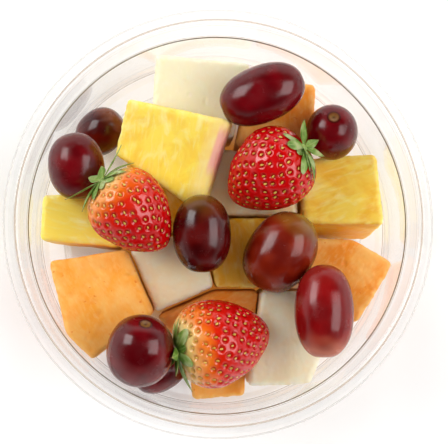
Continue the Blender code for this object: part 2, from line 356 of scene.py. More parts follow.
def closed_skin(name, first, rings, last):
    """A mesh from a pole, rings of points (rings, sides, 3) and a pole."""
    count, sides, _ = rings.shape
    points = np.concatenate([[first], rings.reshape(-1, 3), [last]])
    i = np.arange(sides)
    j = (i + 1) % sides
    starts = 1 + sides * np.arange(count)
    faces = [np.stack([np.zeros(sides, int), 1 + j, 1 + i], axis=1).tolist()]
    for upper, lower in zip(starts, starts[1:]):
        faces.append(np.stack([upper + i, upper + j, lower + j, lower + i], axis=1).tolist())
    end = len(points) - 1
    faces.append(np.stack([np.full(sides, end), starts[-1] + i, starts[-1] + j], axis=1).tolist())
    mesh = bpy.data.meshes.new(name)
    mesh.from_pydata(points.tolist(), [], [face for group in faces for face in group])
    outward(mesh)
    return mesh


def outward(mesh):
    """Turns the faces of a closed mesh outwards."""
    made = bmesh.new()
    made.from_mesh(mesh)
    bmesh.ops.recalc_face_normals(made, faces=made.faces)
    made.to_mesh(mesh)
    made.free()


def store(mesh, name, values):
    """Keeps one number for each point of a mesh, for its material to read."""
    attribute = mesh.attributes.new(name, "FLOAT", "POINT")
    attribute.data.foreach_set("value", np.asarray(values, np.float32))


def coordinates(mesh):
    points = np.empty(len(mesh.vertices) * 3)
    mesh.vertices.foreach_get("co", points)
    return points.reshape(-1, 3)


def normals(mesh):
    found = np.empty(len(mesh.vertices) * 3)
    mesh.vertices.foreach_get("normal", found)
    return found.reshape(-1, 3)


def move_points(mesh, points):
    mesh.vertices.foreach_set("co", np.asarray(points, float).ravel())
    mesh.update()


def turned_by(turn, pitch, roll=0):
    """Roll about the piece's own X, then pitch its X end up, then turn it in plan."""
    return (
        Matrix.Rotation(math.radians(turn), 4, "Z")
        @ Matrix.Rotation(math.radians(-pitch), 4, "Y")
        @ Matrix.Rotation(math.radians(roll), 4, "X")
    )


def placing(node, rotation, points):
    """The matrix that turns these points and brings the middle of their box to the node's."""
    turned = points @ np.array(rotation.to_3x3()).T
    middle = Vector((turned.min(0) + turned.max(0)) / 2)
    low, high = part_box(node)
    return Matrix.Translation((low + high) / 2 - middle) @ rotation


# Bowl


def bowl_corners():
    """The corners of the sheet's middle line, from the axis to the lip: (radius, height, bend radius)."""
    foot = SHEET / 2
    top = BOWL_TOP - SHEET / 2
    bead = (MOUTH_RADIUS + BEAD_RADIUS, top - BEAD_RADIUS)
    bead_angles = [math.radians(angle) for angle in range(180, 19, -16)]
    bead_corners = [
        (bead[0] + BEAD_RADIUS * math.cos(a), bead[1] + BEAD_RADIUS * math.sin(a), 0.0)
        for a in bead_angles
    ]
    return [
        (PANEL_RADIUS, PANEL_RISE + foot, 1.0 * MM),
        (FOOT_INNER_RADIUS, foot, 0.8 * MM),
        (FOOT_OUTER_RADIUS, foot, 0.7 * MM),
        (FOOT_OUTER_RADIUS + 1.5 * MM, foot + 0.9 * MM, 0.7 * MM),
        (*BASE_RING, 0.7 * MM),
        (*WALL_FOOT, 0.9 * MM),
        (*LEDGE, 0.45 * MM),
        (LEDGE[0] + LEDGE_WIDTH, LEDGE[1] + 0.9 * MM, 0.5 * MM),
        (MOUTH_RADIUS, top - BEAD_RADIUS - 1.2 * MM, 0.6 * MM),
        *bead_corners,
        (FLANGE_RADIUS, top - FLANGE_DROP, 0.5 * MM),
        (OUTER_RADIUS, top - FLANGE_DROP - 0.9 * MM, 0.5 * MM),
        (OUTER_RADIUS, top - LIP_DROP, 0.0),
    ]


def rounded(corners):
    """The line through these corners, each bent round by its own radius."""
    spots = [Vector((0.0, corners[0][1]))] + [Vector(corner[:2]) for corner in corners]
    line = [spots[0]]
    for i, (_, _, bend) in enumerate(corners[:-1], start=1):
        back = (spots[i - 1] - spots[i]).normalized()
        ahead = (spots[i + 1] - spots[i]).normalized()
        half_angle = back.angle(ahead) / 2
        if bend == 0.0 or half_angle > math.radians(88):
            line.append(spots[i])
            continue
        reach = bend / math.tan(half_angle)
        room = 0.45 * min((spots[i - 1] - spots[i]).length, (spots[i + 1] - spots[i]).length)
        reach = min(reach, room)
        for step in range(BEND_STEPS + 1):
            t = step / BEND_STEPS
            start = spots[i] + back * reach
            end = spots[i] + ahead * reach
            line.append((1 - t) ** 2 * start + 2 * t * (1 - t) * spots[i] + t**2 * end)
    return line + [spots[-1]]


def beside(points, distance):
    """The same line moved sideways, square to its own run."""
    moved = []
    for i, here in enumerate(points):
        before = here - points[max(i - 1, 0)]
        after = points[min(i + 1, len(points) - 1)] - here
        ways = [way.normalized() for way in (before, after) if way.length > 0]
        sides = [Vector((-way.y, way.x)) for way in ways]
        middle = sum(sides, Vector((0.0, 0.0))).normalized()
        moved.append(here + middle * distance / middle.dot(sides[0]))
    return moved


def clear_plastic():
    """Clear sheet: it shows what is behind it and mirrors more at a slant. It is painted browner at its folds
    and greyer on the flange, as painted shade and reflection, and orange under the pile, as painted light.
    """
    look = Look("clear_plastic")
    here = look.add("TexCoord").outputs["Object"]
    flat = look.add("VectorMath", {0: here, 1: (1, 1, 0)}, operation="MULTIPLY").outputs[0]
    radius = look.add("VectorMath", {0: flat}, operation="LENGTH").outputs["Value"]
    height = look.add("SeparateXYZ", {0: here}).outputs["Z"]
    spot = look.add("CombineXYZ", {"X": radius, "Y": height}).outputs[0]
    fold, brown = 0.0, 0.0
    # Painted shade and reflection: near each fold line the sheet turns more solid and browner.
    for line in FOLD_LINES:
        centre = (line.radius * MM, line.height * MM, 0)
        away = look.add("VectorMath", {0: spot, 1: centre}, operation="DISTANCE").outputs["Value"]
        drawn = look.between(away, SHEET / 2, SHEET / 2 + line.half_width * MM, 1.0, 0.0)
        fold = look.math("MAXIMUM", look.math("MULTIPLY", drawn, line.share), fold)
        brown = look.math("MAXIMUM", look.math("MULTIPLY", drawn, line.brown), brown)
    colour = look.ramp(
        brown,
        [(0.0, paint(196, 195, 192)), (0.55, paint(190, 158, 122)), (1.0, paint(92, 80, 50))],
    )
    slant = look.add("LayerWeight", {"Blend": 0.5}).outputs["Facing"]
    haze = look.between(slant, 0.6, 1.0, 0.0, 0.10)
    body = look.math("MAXIMUM", fold, haze)
    # Painted light: under the pile the sheet is tinted orange.
    tint = look.mix(look.between(radius, *PILE_BOUNCE_REACH), PILE_BOUNCE_TINT, SHEET_TINT)
    # Painted shade: a greyer band on the bead's outer side and the flange's slope.
    off_flange_shade = look.math("ABSOLUTE", look.math("SUBTRACT", radius, FLANGE_SHADE_RADIUS))
    flange_shade = look.between(off_flange_shade, 0.75 * FLANGE_SHADE_HALF_WIDTH, FLANGE_SHADE_HALF_WIDTH, 1.0, 0.0)
    tint = look.mix(flange_shade, tint, FLANGE_SHADE_TINT)
    clear = look.add("BsdfTransparent", {"Color": tint}).outputs[0]
    sheet = look.add("MixShader", {0: body, 1: clear})
    solid = look.skin(Base_Color=colour, Roughness=0.12)
    look.links.new(solid, sheet.inputs[2])
    mirror = look.add("BsdfGlossy", {"Color": (1, 1, 1, 1), "Roughness": 0.04}).outputs[0]
    most = look.between(radius, LEDGE[0] - 0.2 * MM, LEDGE[0] + 0.6 * MM, MOST_MIRROR, RIM_MIRROR)
    share = look.math("MINIMUM", look.add("Fresnel", {"IOR": PLASTIC_IOR}).outputs[0], most)
    seen = look.add("MixShader", {0: share, 1: sheet.outputs[0], 2: mirror}).outputs[0]
    lit = look.add("LightPath").outputs["Is Shadow Ray"]
    passed = look.add("BsdfTransparent").outputs[0]
    return look.done(look.add("MixShader", {0: lit, 1: seen, 2: passed}).outputs[0])


def make_bowl():
    line = rounded(bowl_corners())
    profile = beside(line, SHEET / 2) + beside(line, -SHEET / 2)[::-1]
    radii = np.array([point.x for point in profile[1:-1]])
    heights = np.array([point.y for point in profile[1:-1]])
    angles = 2 * math.pi * np.arange(BOWL_SEGMENTS) / BOWL_SEGMENTS
    rings = np.stack(
        [
            radii[:, None] * np.cos(angles),
            radii[:, None] * np.sin(angles),
            np.repeat(heights[:, None], BOWL_SEGMENTS, axis=1),
        ],
        axis=2,
    )
    first = (0.0, 0.0, profile[0].y)
    last = (0.0, 0.0, profile[-1].y)
    mesh = closed_skin("clear_bowl", first, rings, last)
    add_object("clear_bowl", mesh, clear_plastic(), "clear_plastic", "bowl")


# Chunks


def flesh_colour(look, chunk, pale, deep, shade, edge):
    """Clouded flesh between a pale and a deep colour, with painted shade in a richer colour down the sides
    and painted light, paler, along its edges.
    """
    # The chunk's tone, partly its own and partly painted light and shade, clouded at random.
    cloud = look.between(look.noise(8 * MM, 4.0, distortion=0.6), 0.34, 0.66, -0.24, 0.24)
    tone = look.add("Clamp", {"Value": look.math("ADD", cloud, chunk.tone)}).outputs[0]
    colour = look.mix(tone, paint(*pale), paint(*deep))
    height = look.add("SeparateXYZ", {0: look.add("TexCoord").outputs["Object"]}).outputs["Z"]
    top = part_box(chunk.name)[1].z
    # Painted shade: below its top the chunk's sides turn to the richer shade colour, standing in for the
    # light that shaded flesh lets through.
    colour = look.mix(look.between(height, top - DEEP_TO, top - DEEP_FROM, 0.85, 0.0), colour, paint(*shade))
    # Painted light: the edges are paler in ragged patches, standing in for light let through the thin flesh
    # there.
    painted_edge_light = look.math("MULTIPLY", look.attribute("edge"), look.between(look.noise(2.2 * MM, 3.0), 0.3, 0.6))
    return look.mix(look.math("MULTIPLY", painted_edge_light, 0.55), colour, paint(*edge))


def honeydew_look(chunk):
    look = Look("look_" + chunk.name)
    colour = flesh_colour(look, chunk, (240, 232, 202), (244, 212, 158), (244, 192, 114), (250, 247, 230))
    grain = look.noise(1.3 * MM, 4.0, (1, 0.45, 1), chunk.grain_turn)
    colour = look.mix(look.between(grain, 0.5, 0.85, 0.0, 0.45), colour, paint(248, 242, 220))
    return look.done(
        look.skin(
            Base_Color=colour,
            Roughness=look.between(grain, 0.3, 0.7, 0.28, 0.5),
            IOR_Level=0.28,
            Subsurface_Weight=0.5,
            Subsurface_Radius=(1.0, 0.7, 0.35),
            Subsurface_Scale=4.0 * MM,
            Normal=look.bump(grain, 0.12 * MM, 0.6),
        )
    )


def cantaloupe_look(chunk):
    look = Look("look_" + chunk.name)
    colour = flesh_colour(look, chunk, (250, 164, 52), (244, 136, 12), (246, 128, 8), (252, 206, 128))
    grain = look.noise(1.0 * MM, 4.0, (1, 0.4, 1), chunk.grain_turn, 0.3)
    patch = look.noise(9 * MM, 6.0, (1, 0.7, 1), chunk.grain_turn, 0.4)
    speck = look.noise(1.8 * MM, 1.0)
    colour = look.mix(look.between(patch, 0.38, 0.70, 0.0, 0.6), colour, paint(253, 200, 116))
    colour = look.mix(look.between(grain, 0.42, 0.78, 0.0, 0.45), colour, paint(252, 198, 116))
    colour = look.mix(look.between(speck, 0.70, 0.78, 0.0, 0.7), colour, paint(234, 118, 12))
    return look.done(
        look.skin(
            Base_Color=colour,
            Roughness=look.between(grain, 0.3, 0.7, 0.30, 0.52),
            IOR_Level=0.28,
            Subsurface_Weight=0.3,
            Subsurface_Radius=(1.0, 0.5, 0.15),
            Subsurface_Scale=4.0 * MM,
            Normal=look.bump(grain, 0.14 * MM, 0.7),
        )
    )


def pineapple_look(chunk):
    look = Look("look_" + chunk.name)
    colour = flesh_colour(look, chunk, (254, 224, 92), (238, 168, 0), (255, 220, 56), (255, 242, 160))
    fibre = look.noise(1.3 * MM, 4.0, (1, 0.16, 0.5), -chunk.grain_turn, 0.35)
    grain = look.noise(0.9 * MM, 3.0)
    streak = 0.6 - 0.35 * chunk.tone
    patch = look.noise(5 * MM, 4.0, (1, 0.5, 1), -chunk.grain_turn, 0.8)
    colour = look.mix(look.between(patch, 0.5, 0.72, 0.0, streak), colour, paint(255, 243, 176))
    colour = look.mix(look.between(fibre, 0.5, 0.78, 0.0, streak), colour, paint(251, 236, 150))
    colour = look.mix(look.between(grain, 0.7, 0.82, 0.0, 0.4), colour, paint(252, 240, 170))
    if chunk.name == "pineapple_top":
        colour = core_strip(look, colour)
    return look.done(
        look.skin(
            Base_Color=colour,
            Roughness=look.between(fibre, 0.3, 0.7, 0.28, 0.5),
            IOR_Level=0.28,
            Subsurface_Weight=0.4,
            Subsurface_Radius=(1.0, 0.78, 0.15),
            Subsurface_Scale=4.0 * MM,
            Normal=look.bump(fibre, 0.22 * MM, 0.8),
        )
    )


def core_strip(look, colour):
    """The pale pink edge of the slab that lay beside the pineapple's core."""
    low, high = Vector((-5.0, 9.2, 0.0)) * MM, Vector((4.0, 37.8, 0.0)) * MM
    along = (high - low).normalized()
    across = Vector((along.y, -along.x, 0.0))
    here = look.add("TexCoord").outputs["Object"]
    from_edge = look.add("VectorMath", {0: here, 1: low}, operation="SUBTRACT").outputs[0]
    depth = look.add("VectorMath", {0: from_edge, 1: across}, operation="DOT_PRODUCT").outputs["Value"]
    reach = look.add("VectorMath", {0: from_edge, 1: along}, operation="DOT_PRODUCT").outputs["Value"]
    pale = look.between(depth, -7.5 * MM, -3.0 * MM, 0.0, 0.6)
    colour = look.mix(pale, colour, paint(246, 220, 150))
    near = look.between(depth, -2.6 * MM, -1.2 * MM)
    begins = look.between(reach, 7 * MM, 13 * MM)
    ends = look.between(reach, 22 * MM, 28 * MM, 1.0, 0.0)
    middle = look.math("MULTIPLY", begins, ends)
    return look.mix(look.math("MULTIPLY", near, middle), colour, paint(240, 178, 160))


CHUNK_LOOKS = {"honeydew": honeydew_look, "cantaloupe": cantaloupe_look, "pineapple": pineapple_look}


def fine_block(name):
    """The node's own block as an even, fine mesh with softly rounded edges."""
    source = bpy.data.objects.new("fine_block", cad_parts[name].data.copy())
    bpy.context.scene.collection.objects.link(source)
    made = bmesh.new()
    made.from_mesh(source.data)
    bmesh.ops.remove_doubles(made, verts=made.verts, dist=0.001 * MM)
    made.to_mesh(source.data)
    made.free()
    remesh = source.modifiers.new("remesh", "REMESH")
    remesh.mode = "VOXEL"
    remesh.voxel_size = VOXEL
    smooth = source.modifiers.new("smooth", "SMOOTH")
    smooth.factor = 0.5
    smooth.iterations = 2
    graph = bpy.context.evaluated_depsgraph_get()
    mesh = bpy.data.meshes.new_from_object(source.evaluated_get(graph))
    bpy.data.objects.remove(source)
    mesh.materials.clear()
    return mesh


def sharpness(mesh):
    """0 on the flat faces of a block, rising to 1 along its edges: how much the faces turn nearby."""
    ends = np.empty(len(mesh.edges) * 2, np.int32)
    mesh.edges.foreach_get("vertices", ends)
    ends = ends.reshape(-1, 2)
    spread = normals(mesh)
    count = 1 + np.bincount(ends.ravel(), minlength=len(spread))[:, None]
    for _ in range(EDGE_SPREAD):
        total = spread.copy()
        np.add.at(total, ends[:, 0], spread[ends[:, 1]])
        np.add.at(total, ends[:, 1], spread[ends[:, 0]])
        spread = total / count
    return np.clip((1 - np.linalg.norm(spread, axis=1)) / 0.12, 0, 1)


def melon_relief(point, turn):
    """How far the cut face of a melon chunk stands in, in millimetres."""
    swell = noise.noise(point * 0.11)
    tear = max(0.0, noise.noise(point * 0.45 + Vector((9, 4, 2))) - 0.25)
    c, s = math.cos(math.radians(turn)), math.sin(math.radians(turn))
    across = point.x * c + point.y * s
    along = point.y * c - point.x * s
    fibre = noise.noise(Vector((across * 0.9, along * 0.25, point.z * 0.5)))
    return 0.24 * swell - 1.3 * tear * tear + 0.09 * fibre + 0.05 * noise.noise(point * 1.3)


def pineapple_relief(point, turn):
    """Fibres run along one way in plan, and stand out from softer flesh."""
    c, s = math.cos(math.radians(turn)), math.sin(math.radians(turn))
    across = point.x * c + point.y * s
    along = point.y * c - point.x * s
    fibre = noise.noise(Vector((across * 0.62, along * 0.10, point.z * 0.35)))
    fine = noise.noise(Vector((across * 1.5, along * 0.28, point.z * 0.8)) + Vector((5, 1, 7)))
    swell = noise.noise(point * 0.12)
    return 0.16 * (fibre - 0.3) + 0.12 * fine + 0.2 * swell


def make_chunk(chunk):
    mesh = fine_block(chunk.name)
    relief = pineapple_relief if chunk.fruit == "pineapple" else melon_relief
    edge = sharpness(mesh)
    store(mesh, "edge", edge)
    shift = Vector([random.Random(chunk.name).uniform(0, 500) for _ in range(3)])
    points = coordinates(mesh)
    deep = np.array([relief(Vector(point) / MM + shift, chunk.grain_turn) for point in points]) * MM
    ragged = np.array([noise.noise(Vector(point) / (1.7 * MM) + shift) for point in points])
    deep += edge * (0.5 * ragged - 0.1) * MM
    move_points(mesh, points + normals(mesh) * (GROWTH + deep)[:, None])
    material = CHUNK_LOOKS[chunk.fruit](chunk)
    add_object("chunk_" + chunk.name, mesh, material, chunk.fruit + "_flesh", chunk.name)


# Grapes

GRAPE_COLOURS = {
    "red": ((84, 0, 6), (112, 3, 12), (126, 40, 26)),
    "bright": ((116, 5, 8), (138, 12, 14), (196, 112, 84)),
    "dark": ((50, 0, 2), (92, 8, 6), (116, 78, 24)),
    "brown": ((104, 16, 4), (134, 36, 12), (140, 100, 36)),
    "amber": ((56, 2, 6), (92, 16, 4), (124, 62, 6)),
}


def grape_look(kind):
    """Glossy skin under a thin bloom, with paler ends and the dry scar of its stalk."""
    look = Look("grape_" + kind)
    dark, light, end = (paint(*colour) for colour in GRAPE_COLOURS[kind])
    cloud = look.noise(9 * MM, 1.5)
    streak = look.noise(1.0 * MM, 3.0)
    colour = look.mix(look.between(cloud, 0.35, 0.7), dark, light)
    colour = look.mix(look.attribute("pale"), colour, end)
    colour = look.mix(look.between(streak, 0.7, 0.82, 0.0, 0.14), colour, end)
    bloom = look.between(look.add("LayerWeight", {"Blend": 0.35}).outputs["Facing"], 0.6, 1.0, 0.0, 0.06)
    colour = look.mix(bloom, colour, paint(140, 110, 116))
    colour = look.mix(look.attribute("scar"), colour, paint(132, 98, 50))
    colour = look.mix(look.attribute("scar_ring"), colour, paint(40, 12, 6))
    smear = look.noise(4 * MM, 3.0)
    return look.done(
        look.skin(
            Base_Color=colour,
            Roughness=look.between(smear, 0.35, 0.7, 0.15, 0.28),
            IOR_Level=0.42,
            Normal=look.bump(look.noise(2.6 * MM, 2.0), 0.04 * MM, 0.4),
        )
    )


def make_grape(grape, material):
    """A long rounded berry along X: blunt ends, a soft dip at each, and the scar of its stalk at +X."""
    dice = random.Random(grape.name)
    seed = Vector([dice.uniform(0, 100) for _ in range(3)])
    half_length, half_width = grape.length / 2 * MM, grape.width / 2 * MM
    angle = np.linspace(0, math.pi, GRAPE_RINGS + 1)[:, None]
    around = 2 * math.pi * np.arange(GRAPE_SIDES) / GRAPE_SIDES
    along = np.copysign(np.abs(np.cos(angle)) ** 0.92, np.cos(angle)) * half_length
    out = np.sin(np.clip(angle, 1e-6, math.pi)) ** 0.88 * half_width
    smooth_points = np.stack(
        [np.repeat(along, GRAPE_SIDES, axis=1), out * np.cos(around), out * np.sin(around)], axis=2
    )
    matrix = placing(grape.name, turned_by(grape.turn, grape.pitch), smooth_points.reshape(-1, 3))
    flat = smooth_points.reshape(-1, 3)
    from_axis = np.hypot(flat[:, 1], flat[:, 2])
    stalk_end = flat[:, 0] > 0
    lumps = np.array([noise.noise(Vector(p) / (9 * MM) + seed) for p in flat])
    scale = 1 + 0.012 * (lumps - 0.8)
    dip = np.exp(-((from_axis / (2.6 * MM)) ** 2))
    pit = np.exp(-((from_axis / (1.3 * MM)) ** 2))
    rim = np.exp(-(((from_axis - 1.9 * MM) / (0.35 * MM)) ** 2)) * stalk_end
    inwards = np.where(stalk_end, grape.scar * (0.2 * dip + 0.3 * pit - 0.16 * rim), 0.4 * dip) * MM
    flat = flat * scale[:, None]
    flat[:, 0] -= np.sign(flat[:, 0]) * inwards
    rings = flat.reshape(smooth_points.shape)
    mesh = closed_skin(grape.name + "_skin", rings[0].mean(0), rings[1:-1], rings[-1].mean(0))
    points = coordinates(mesh)
    radius = np.hypot(points[:, 1], points[:, 2])
    ahead = points[:, 0] > 0
    share = np.abs(points[:, 0]) / half_length
    paler = np.where(ahead, grape.front, grape.back)
    patch = np.array([noise.noise(Vector(p) / (5 * MM) + seed) for p in points])
    store(mesh, "pale", paler * np.clip((share + 0.22 * patch - 0.42) / 0.5, 0, 1) ** 1.4)
    spots = np.array([noise.noise(Vector(p) / (0.9 * MM) + seed) for p in points])
    disc = np.clip((2.0 * MM - radius) / (0.4 * MM), 0, 1)
    store(mesh, "scar", grape.scar * disc * ahead * (0.75 - 0.4 * spots))
    ring = np.exp(-(((radius - 2.1 * MM) / (0.38 * MM)) ** 2))
    middle = np.exp(-((radius / (0.6 * MM)) ** 2))
    store(mesh, "scar_ring", grape.scar * np.clip(ring + middle, 0, 1) * ahead * 0.85)
    mesh.transform(matrix)
    slot = "brown_grape_skin" if grape.kind == "brown" else "grape_skin"
    add_object(grape.name + "_skin", mesh, material, slot, grape.name)


# Strawberries


def berry_radius(angle):
    """A strawberry's half width, as a share of the largest, at this angle from its stem to its tip."""
    shoulder = np.sin(np.clip(angle, 0.0, math.pi)) ** (0.72 + 0.33 * angle / math.pi)
    return shoulder * (1.0 + 0.30 * np.cos(angle)) / 1.07


def berry_points(berry, angle, around):
    """Points on the skin of a strawberry that lies along X, its stem at -X."""
    along = -np.cos(angle) * berry.length / 2 * MM
    out = berry_radius(angle) * berry.width / 2 * MM
    return np.stack(
        np.broadcast_arrays(along, out * np.cos(around), out * np.sin(around) * BERRY_FLATNESS), axis=-1
    )


def berry_frames(berry, angle, around):
    """Points on the skin with their outward normals and their ways towards the tip."""
    little = 1e-3
    here = berry_points(berry, angle, around)
    along = berry_points(berry, angle + little, around) - berry_points(berry, angle - little, around)
    across = berry_points(berry, angle, around + little) - berry_points(berry, angle, around - little)
    out = np.cross(across, along)
    out /= np.linalg.norm(out, axis=-1, keepdims=True)
    along /= np.linalg.norm(along, axis=-1, keepdims=True)
    return here, out, along


def seed_places(berry, dice):
    """Angles of the seeds: a spiral from the stem to the tip with the same room round each."""
    steps = np.linspace(0.0, math.pi, 2001)
    spots = berry_points(berry, steps, 0.0)
    run = np.linalg.norm(np.diff(spots, axis=0), axis=1)
    bands = 2 * math.pi * (spots[1:, 1] + spots[:-1, 1]) / 2 * run
    area = np.concatenate([[0.0], np.cumsum(bands)])
    count = int(area[-1] / (SEED_SPACING**2 * math.sqrt(3) / 2))
    golden = math.pi * (3 - math.sqrt(5))
    shares = (np.arange(count) + 0.5) / count
    angle = np.interp(shares * area[-1], area, steps)
    around = np.arange(count) * golden
    wobble = np.array([(dice.gauss(0, 0.011), dice.gauss(0, 0.035)) for _ in range(count)])
    keep = (angle > 0.34) & (angle < 3.08)
    return (angle + wobble[:, 0])[keep], (around + wobble[:, 1])[keep]


def strawberry_look(berry):
    """Glossy red flesh, paler towards the stem, and with painted shade darkening it down in its pits."""
    look = Look("flesh_" + berry.name)
    ripe = look.attribute("ripe")
    colour = look.ramp(
        ripe,
        [
            (0.0, paint(232, 216, 150)),
            (0.2, paint(238, 196, 116)),
            (0.42, paint(236, 116, 26)),
            (0.66, paint(214, 34, 8)),
            (1.0, paint(202, 5, 8)),
        ],
    )
    deeper = look.math("MULTIPLY", look.between(look.noise(5 * MM, 3.0), 0.45, 0.75, 0.0, 0.35), ripe)
    colour = look.mix(deeper, colour, paint(160, 0, 6))
    pit = look.attribute("pit")
    # Painted shade: the flesh is darker down in its pits, more so where it is ripe.
    pit_shade = look.math("MULTIPLY", pit, look.between(ripe, 0.3, 0.8, 0.15, 0.5))
    colour = look.mix(pit_shade, colour, paint(136, 0, 2))
    return look.done(
        look.skin(
            Base_Color=colour,
            Roughness=look.between(look.noise(3 * MM, 2.0), 0.3, 0.7, 0.1, 0.17),
            IOR_Level=0.6,
            Subsurface_Weight=0.12,
            Subsurface_Radius=(1.0, 0.2, 0.1),
            Subsurface_Scale=1.2 * MM,
            Normal=look.bump(look.noise(0.7 * MM, 2.0), 0.02 * MM, 0.3),
        )
    )


def seed_look(name, dark, light):
    look = Look(name)
    colour = look.mix(look.between(look.noise(1.5 * MM, 2.0), 0.35, 0.65), paint(*dark), paint(*light))
    relief = look.bump(look.noise(0.3 * MM), 0.02 * MM)
    return look.done(look.skin(Base_Color=colour, Roughness=0.32, Normal=relief))


def leaf_look():
    look = Look("strawberry_leaf")
    cloud = look.noise(4 * MM, 3.0)
    fine = look.noise(0.7 * MM, 3.0)
    colour = look.ramp(
        look.between(cloud, 0.3, 0.7),
        [(0.0, paint(78, 112, 26)), (0.5, paint(122, 154, 62)), (1.0, paint(170, 182, 124))],
    )
    colour = look.mix(look.between(look.attribute("vein"), 0.75, 1.0, 0.0, 0.5), colour, paint(168, 186, 112))
    colour = look.mix(look.between(look.attribute("tip"), 0.84, 1.0, 0.0, 0.7), colour, paint(160, 132, 84))
    return look.done(
        look.skin(
            Base_Color=colour,
            Roughness=look.between(fine, 0.3, 0.7, 0.42, 0.6),
            Subsurface_Weight=0.1,
            Subsurface_Scale=0.5 * MM,
            Normal=look.bump(fine, 0.06 * MM, 0.7),
        )
    )


def make_flesh(berry, matrix, seeds):
    angle = np.linspace(0, math.pi, BERRY_RINGS + 1)[1:-1, None]
    around = 2 * math.pi * np.arange(BERRY_SIDES)[None, :] / BERRY_SIDES
    here, out, _ = berry_frames(berry, angle, around)
    tree = KDTree(len(seeds))
    for i, spot in enumerate(seeds):
        tree.insert(spot, i)
    tree.balance()
    flat, ways = here.reshape(-1, 3), out.reshape(-1, 3)
    near = np.array([tree.find(point)[2] for point in flat])
    t = np.clip(1 - near / PIT_RADIUS, 0, 1)
    pit = np.clip(t * t * (3 - 2 * t) * 1.7, 0, 1)
    swell = np.array([noise.noise(Vector(p) / (8 * MM)) for p in flat])
    flat = flat + ways * (-PIT_DEPTH * pit + 0.3 * MM * (swell - 0.5))[:, None]
    share = (flat[:, 0] / (berry.length / 2 * MM) + 1) / 2
    patch = np.array([noise.noise(Vector(p) / (6 * MM) + Vector((3, 8, 1))) for p in flat])
    ripe = np.clip((share + 0.09 * patch - berry.pale_to) / (berry.red_from - berry.pale_to), -0.6, 1)
    ripe = np.clip(0.35 + 0.65 * ripe, 0, 1)
    rings = flat.reshape(here.shape)
    mesh = closed_skin(berry.name + "_flesh", rings[0].mean(0), rings, rings[-1].mean(0))
    store(mesh, "ripe", np.concatenate([[ripe[0]], ripe, [ripe[-1]]]))
    store(mesh, "pit", np.concatenate([[0.0], pit, [0.0]]))
    mesh.transform(matrix)
    add_object(berry.name + "_flesh", mesh, strawberry_look(berry), "strawberry_flesh", berry.name)


def make_seeds(berry, matrix, angle, around, dice, material):
    """Pointed little drops, each lying in its pit with its point towards the stem."""
    here, out, along = berry_frames(berry, angle, around)
    drop = bmesh.new()
    bmesh.ops.create_uvsphere(drop, u_segments=8, v_segments=6, radius=0.5)
    unit = np.array([vertex.co for vertex in drop.verts])
    faces = [[vertex.index for vertex in face.verts] for face in drop.faces]
    drop.free()
    taper = 1 - 0.55 * (0.5 - unit[:, 2]) ** 2
    points, polygons = [], []
    for spot, up, ahead in zip(here, out, along):
        twist = dice.gauss(0, 0.25)
        side = np.cross(up, ahead)
        forward = ahead * math.cos(twist) + side * math.sin(twist)
        side = np.cross(up, forward)
        size = dice.uniform(0.88, 1.12)
        middle = spot - up * (PIT_DEPTH - SEED_RAISE)
        start = len(points)
        shape = (
            np.outer(unit[:, 2] * SEED_LENGTH * size, forward)
            + np.outer(unit[:, 0] * taper * SEED_WIDTH * size, side)
            + np.outer(unit[:, 1] * taper * SEED_WIDTH * 0.62 * size, up)
        )
        points.extend((shape + middle).tolist())
        polygons.extend([[start + i for i in face] for face in faces])
    mesh = bpy.data.meshes.new(berry.name + "_seeds")
    mesh.from_pydata(points, [], polygons)
    outward(mesh)
    mesh.transform(matrix)
    add_object(berry.name + "_seeds", mesh, material, "strawberry_flesh")


LEAF_STEPS = 14
LEAF_SIDES = 6
LEAF_THICKNESS = 0.28 * MM
LEAF_CLEARANCE = 0.35 * MM


def leaf_outline(t):
    """Half width of a leaf at a share of its length: a narrow foot, widest near a third, a pointed tip."""
    widening = 0.34 + 0.66 * np.sin(np.clip(t / 0.42, 0, 1) * math.pi / 2)
    return widening * (1 - np.clip((t - 0.3) / 0.7, 0, 1) ** 1.9)


def leaf_points(berry, leaf, dice):
    """A grid of points along and across one leaf, and their outward ways, in the berry's own frame."""
    steps = np.linspace(0, 1, LEAF_STEPS + 1)
    start = math.radians(-12 if leaf.bend < 0 else 4)
    heading = start + math.radians(leaf.bend) * steps**1.15
    stride = leaf.length * MM / LEAF_STEPS
    x = -berry.length / 2 * MM - 0.75 * MM + np.cumsum(np.sin(heading) * stride)
    r = 0.6 * MM + np.cumsum(np.cos(heading) * stride)
    table = np.linspace(0.0, 1.05, 200)
    shoulder_r = berry_radius(table) * berry.width / 2 * MM
    shoulder_x = -np.cos(table) * berry.length / 2 * MM
    around = math.radians(leaf.around)
    radial = np.array((0.0, math.cos(around), math.sin(around)))
    side = np.array((0.0, -math.sin(around), math.cos(around)))
    axis = np.array((1.0, 0.0, 0.0))
    across = np.linspace(-1, 1, LEAF_SIDES + 1)
    half = leaf_outline(steps) * leaf.width / 2 * MM
    wave = dice.uniform(-0.2, 0.2)
    grid = np.empty((LEAF_STEPS + 1, LEAF_SIDES + 1, 3))
    ways = np.empty_like(grid)
    for i, t in enumerate(steps):
        out = radial * math.sin(heading[i]) - axis * math.cos(heading[i])
        for j, s in enumerate(across):
            fold = (0.34 * abs(s) ** 1.3 + wave * s * t) * half[i]
            point = axis * x[i] + radial * r[i] + side * s * half[i] + out * fold
            from_axis = math.hypot(point[1], point[2] / BERRY_FLATNESS)
            if from_axis < shoulder_r[-1]:
                limit = np.interp(from_axis, shoulder_r, shoulder_x) - LEAF_CLEARANCE
                point[0] = min(point[0], limit)
            grid[i, j] = point
            ways[i, j] = out
    return grid, ways, steps, across


